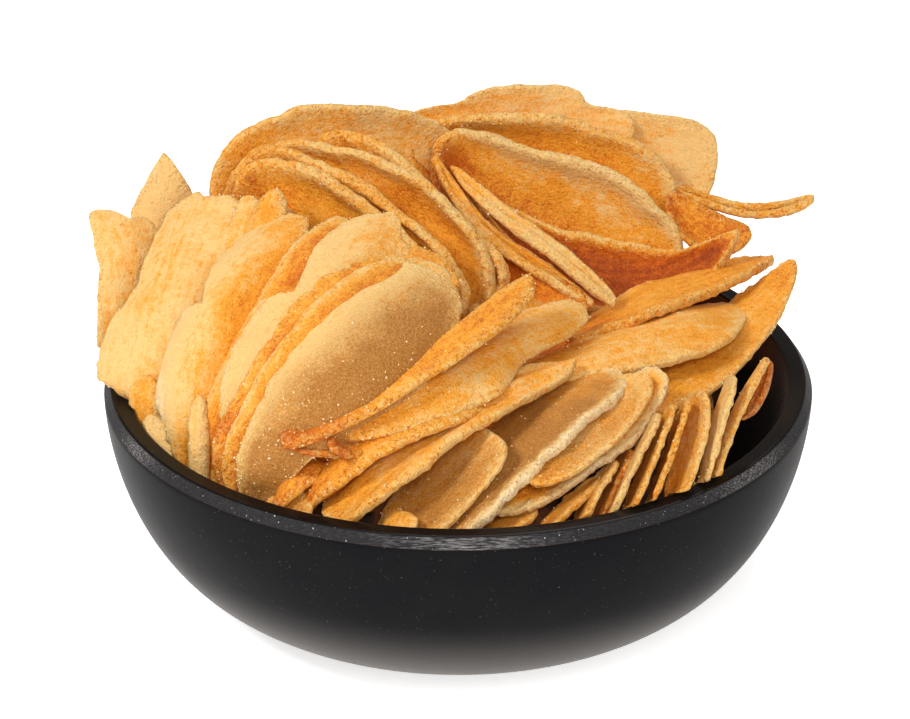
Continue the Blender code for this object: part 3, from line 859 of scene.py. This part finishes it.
def fine_grain_group():
    """Small relief for dry, fried and cast surfaces: grain of a given size with pits."""
    tree, inside, out = new_group(
        "fine_grain",
        [("Position", "NodeSocketVector", None), ("Grain per mm", "NodeSocketFloat", 2.0),
         ("Pits", "NodeSocketFloat", 0.4)],
        [("Height", "NodeSocketFloat"), ("Mask", "NodeSocketFloat")])
    grain = noise(tree, inside.outputs["Position"], inside.outputs["Grain per mm"], 3.0, 0.62)
    wide = times(tree, inside.outputs["Grain per mm"], 0.42)
    cells = add(tree, "ShaderNodeTexVoronoi",
                {"Vector": inside.outputs["Position"], "Scale": wide}).outputs["Distance"]
    pit = times(tree, between(tree, cells, 0.02, 0.32), inside.outputs["Pits"])
    tree.links.new(plus(tree, grain, pit), out.inputs["Height"])
    tree.links.new(between(tree, grain, 0.35, 0.7), out.inputs["Mask"])
    return tree


def fine_grain(tree, group, at, per_mm, pits):
    """The fine grain placed in a material's tree."""
    return add(tree, "ShaderNodeGroup", {"Position": at, "Grain per mm": per_mm, "Pits": pits},
               node_tree=group)


# ------------ finishes
def crisp_finish(grain_group):
    """Fried crisp: cream through gold to orange, then deep orange, by its tone, which also
    carries painted shade; with slow blotches, streaks along the sheet, tan patches that also
    paint shade, sandy grain, red-brown flecks, and a crumbly rim."""
    made, tree, shader = new_material("crisp_golden", 0.6)
    at = millimetres(tree)
    tone, rim, tan_and_shade = (reading(tree, name) for name in ("tone", "rim", "tan_and_shade"))
    sheet = add(tree, "ShaderNodeUVMap", uv_map="sheet").outputs[0]
    along = add(tree, "ShaderNodeMapping", {"Vector": sheet, "Scale": (9.0, 75.0, 1.0)})
    blotches = noise(tree, at, 0.10, 3.0, 0.6)
    streaks = noise(tree, along.outputs[0], 1.0, 3.0, 0.65)
    mottle = noise(tree, at, 0.6, 3.0, 0.65)
    depth = tone
    for pattern, amount in ((blotches, 0.8), (streaks, 0.7), (mottle, 0.75)):
        depth = plus(tree, depth, swing(tree, pattern, amount))
    colour = blend(tree, between(tree, depth, 0.0, 0.5), CREAM, GOLD)
    colour = blend(tree, between(tree, depth, 0.45, 1.05), colour, ORANGE)
    # Past a tone of 1 the colour goes to deep orange, partly painted shade.
    colour = blend(tree, between(tree, depth, 1.0, 1.6), colour, DEEP_ORANGE_AND_SHADE)
    # Tan lies in patches, and leaves the face clear where there is none. Its slopes towards the
    # first tip and the second edge are painted shade.
    patches = swing(tree, noise(tree, at, 0.13, 3.0, 0.6), times(tree, tan_and_shade, 1.6))
    colour = blend(tree, plus(tree, tan_and_shade, patches, True), colour, TAN)
    # Sandy grain darkens the browned and painted-shade places most.
    sand = between(tree, noise(tree, at, 2.4, 3.0, 0.7), 0.42, 0.62)
    browned_and_shaded = between(tree, plus(tree, depth, tan_and_shade), 0.0, 0.9, 0.22, 0.72)
    colour = blend(tree, times(tree, sand, browned_and_shaded), colour, GRAIN_SHADE, "MULTIPLY")
    # Pale grains on the cream places, pale crumbs on the rim, broken white on a bright rim.
    pale = between(tree, noise(tree, at, 2.3, 2.0, 0.6), 0.58, 0.70)
    pale = times(tree, pale, between(tree, depth, 0.0, 1.0, 0.4, 0.08))
    colour = blend(tree, pale, colour, RIM_CREAM)
    crumb = between(tree, noise(tree, at, 1.0, 3.0, 0.6), 0.42, 0.62, 0.0, 0.75)
    crumb = times(tree, times(tree, rim, crumb), between(tree, depth, 0.0, 1.0, 1.0, 0.45))
    colour = blend(tree, crumb, colour, RIM_CREAM)
    broken = times(tree, between(tree, depth, -0.1, -0.8),
                   between(tree, noise(tree, at, 1.2, 4.0, 0.75), 0.36, 0.56, 0.25, 1.0))
    colour = blend(tree, broken, colour, BROKEN_RIM)
    fleck = between(tree, noise(tree, at, 1.4, 2.0, 0.7), 0.575, 0.64)
    more_flecks = plus(tree, between(tree, depth, 0.2, 0.9, 0.04, 0.6),
                       times(tree, rim, 0.55), True)
    colour = blend(tree, times(tree, fleck, more_flecks), colour, FLECK)
    tree.links.new(colour, shader.inputs["Base Color"])
    fine = fine_grain(tree, grain_group, at, 1.9, 0.5)
    coarse = times(tree, noise(tree, at, 0.5, 2.0, 0.5), 1.2)
    crumbs = times(tree, rim, times(tree, noise(tree, at, 1.3, 3.0, 0.7), 2.2))
    height = plus(tree, plus(tree, fine.outputs["Height"], coarse), crumbs)
    relief(tree, shader, height, 1.0, 0.34)
    dry = between(tree, fine.outputs["Mask"], 0.0, 1.0, 0.5, 0.72)
    tree.links.new(dry, shader.inputs["Roughness"])
    shader.inputs["Specular IOR Level"].default_value = 0.2
    shader.inputs["Subsurface Weight"].default_value = 0.14
    shader.inputs["Subsurface Radius"].default_value = (1.0, 0.45, 0.12)
    shader.inputs["Subsurface Scale"].default_value = 1.0 * MM
    return made


def salt_finish():
    """Grains of salt and pale crumb."""
    made, tree, shader = new_material("salt_pale", 0.35)
    at = millimetres(tree)
    cloudy = between(tree, noise(tree, at, 1.2, 2.0, 0.6), 0.35, 0.65)
    tree.links.new(blend(tree, cloudy, SALT, RIM_CREAM), shader.inputs["Base Color"])
    relief(tree, shader, noise(tree, at, 4.0, 2.0, 0.5), 0.6, 0.05)
    return made


def core_shade_finish(grain_group):
    """Painted shade for the gaps deep between the crisps: the same fried stuff, dark and broken.
    """
    made, tree, shader = new_material("core_painted_shade", 0.8)
    at = millimetres(tree)
    patch = between(tree, noise(tree, at, 0.22, 4.0, 0.6), 0.4, 0.65)
    tree.links.new(blend(tree, patch, CORE_SHADE_DARK, CORE_SHADE_BROWN), shader.inputs["Base Color"])
    fine = fine_grain(tree, grain_group, at, 0.7, 0.8)
    relief(tree, shader, fine.outputs["Height"], 1.0, 0.6)
    return made


def bowl_finish(grain_group):
    """Charcoal bowl: satin outside with faint clouds, greyer towards the foot as a painted
    reflection of the floor, a ground band under the edge with slanting scratches that are
    painted bright in places as a highlight, pale specks, a dark glossy top, and a dark glossy
    inside with a painted warm reflection under the rim."""
    made, tree, shader = new_material("bowl_charcoal", 0.4)
    at = millimetres(tree)
    band, wall, band_highlight = (reading(tree, name) for name in ("ground_band", "outer_wall", "band_highlight"))
    above = add(tree, "ShaderNodeSeparateXYZ", {0: at}).outputs[2]
    cloud = between(tree, noise(tree, at, 0.045, 4.0, 0.6), 0.35, 0.7)
    outer = blend(tree, cloud, CHARCOAL, CHARCOAL_PALE)
    # Greyer towards the foot: a painted reflection of the floor.
    outer = blend(tree, between(tree, above, 28.0, -4.0), outer, FOOT_REFLECTION_GREY)
    # A painted warm reflection of the crisps on the inner wall under the rim.
    warm_reflection = times(tree, between(tree, above, 36.0, 48.0), between(tree, above, 49.8, 49.0))
    inner = blend(tree, warm_reflection, INSIDE_DARK, INSIDE_REFLECTION_WARM)
    slant = add(tree, "ShaderNodeMapping",
                {"Vector": at, "Rotation": (0.3, 0.75, 0.2), "Scale": (0.3, 3.2, 3.2)})
    scratch = between(tree, noise(tree, slant.outputs[0], 1.0, 3.0, 0.7), 0.4, 0.7)
    # The scratches are wear; where they show bright is a painted highlight.
    scratches_and_highlight = times(tree, scratch, plus(tree, band_highlight, 0.08), True)
    ground = blend(tree, scratches_and_highlight, BAND_DARK, BAND_GREY)
    colour = blend(tree, band, blend(tree, wall, inner, outer), ground)
    speck = between(tree, noise(tree, at, 1.9, 1.0, 0.5), 0.745, 0.77)
    near_edge = plus(tree, times(tree, band, 0.8), 0.12)
    colour = blend(tree, times(tree, speck, near_edge), colour, BOWL_SPECK)
    tree.links.new(colour, shader.inputs["Base Color"])
    rough = plus(tree, times(tree, wall, 0.24), times(tree, band, 0.28))
    rough = plus(tree, plus(tree, rough, times(tree, cloud, 0.06)), 0.16, True)
    tree.links.new(rough, shader.inputs["Roughness"])
    grain = fine_grain(tree, grain_group, at, 1.8, 0.3)
    height = plus(tree, times(tree, grain.outputs["Height"], 0.6),
                  times(tree, times(tree, band, scratch), 1.2))
    relief(tree, shader, height, 0.3, 0.08)
    glaze = between(tree, plus(tree, wall, band, True), 1.0, 0.0, 0.0, 0.45)
    glaze = times(tree, glaze, between(tree, above, 49.9, 49.2, 0.3, 1.0))
    tree.links.new(glaze, shader.inputs["Coat Weight"])
    shader.inputs["Coat Roughness"].default_value = 0.2
    shader.inputs["Specular IOR Level"].default_value = 0.06
    shader.inputs["IOR"].default_value = 1.3
    shader.inputs["Sheen Weight"].default_value = 0.07
    shader.inputs["Sheen Roughness"].default_value = 0.35
    shader.inputs["Sheen Tint"].default_value = rgba(BOWL_SHEEN)
    return made


# ------------ building it
grain_group = fine_grain_group()
golden = crisp_finish(grain_group)

bowl = turned("bowl_turned", *bowl_outline())
bowl.data.materials.append(bowl_finish(grain_group))
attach(bowl, "root")
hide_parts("bowl")

core_dome("heap_core", core_shade_finish(grain_group))
resting_places = []
for name, rows, first_seed in (
        ("crisps_left_fan", LEFT_FAN, 1),
        ("crisps_back_stack", BACK_STACK, 21),
        ("crisps_back_right", BACK_RIGHT, 31),
        ("crisps_right_lying", RIGHT_LYING, 41),
        ("crisps_front_lying", FRONT_LYING, 51),
        ("crisps_front_fan", FRONT_FAN, 61),
        ("crisps_back_row", back_row_crisps(), 81),
        ("crisps_on_core", core_crisps(), 111)):
    resting_places += crisps(name, rows, first_seed, golden)
grains("salt_grains", resting_places, salt_finish())


# ------------ floor, light, camera
def studio_floor(half_side):
    """A wide flat square under the bowl, a little aglow so that it stays pale."""
    corners = np.array([[-1, -1, 0], [1, -1, 0], [1, 1, 0], [-1, 1, 0]]) * half_side
    made = new_mesh("studio_floor", corners, [(0, 1, 2, 3)])
    pale, _, shader = new_material("floor_pale", 0.9)
    shader.inputs["Base Color"].default_value = rgba(FLOOR_PALE)
    shader.inputs["Specular IOR Level"].default_value = 0.1
    shader.inputs["Emission Color"].default_value = (1.0, 1.0, 1.0, 1.0)
    shader.inputs["Emission Strength"].default_value = 0.6
    made.data.materials.append(pale)


def studio_sky(strength):
    """An even pale light from all round."""
    world = bpy.data.worlds.new("studio_sky")
    world.use_nodes = True
    sky = world.node_tree.nodes["Background"]
    sky.inputs["Color"].default_value = rgba(SKY_PALE)
    sky.inputs["Strength"].default_value = strength
    bpy.context.scene.world = world


def aimed(name, data, place, target):
    """A light or the camera, put at a place in metres and turned to look at a target."""
    made = bpy.data.objects.new(name, data)
    bpy.context.collection.objects.link(made)
    made.location = place
    made.rotation_euler = (target - made.location).to_track_quat("-Z", "Y").to_euler()
    return made


def soft_light(name, place_mm, target_mm, size_mm, power):
    """A square soft box that looks at a point."""
    lamp = bpy.data.lights.new(name, "AREA")
    lamp.shape = "SQUARE"
    lamp.size = size_mm * MM
    lamp.energy = power
    aimed(name, lamp, Vector(place_mm) * MM, Vector(target_mm) * MM)


def camera(distance, elevation, target_mm, lens):
    """A camera that looks at a point from straight in front and above."""
    lens_data = bpy.data.cameras.new("camera")
    lens_data.lens = lens
    lens_data.sensor_width = 36.0
    target = Vector(target_mm) * MM
    lift = math.radians(elevation)
    place = target + distance * MM * Vector((0, -math.cos(lift), math.sin(lift)))
    bpy.context.scene.camera = aimed("camera", lens_data, place, target)


studio_floor(half_side=3000)
studio_sky(strength=0.25)
soft_light("key_light", (-440, -240, 560), (0, 0, 60), size_mm=180, power=2.8)
soft_light("front_fill", (100, -600, 480), (0, 0, 70), size_mm=320, power=2.7)
soft_light("back_light", (60, 420, 640), (0, 0, 60), size_mm=460, power=2.0)
camera(distance=600.0, elevation=25.87, target_mm=(-0.7, 0.0, 51.6), lens=104.6)
bpy.context.scene.view_settings.view_transform = "Standard"
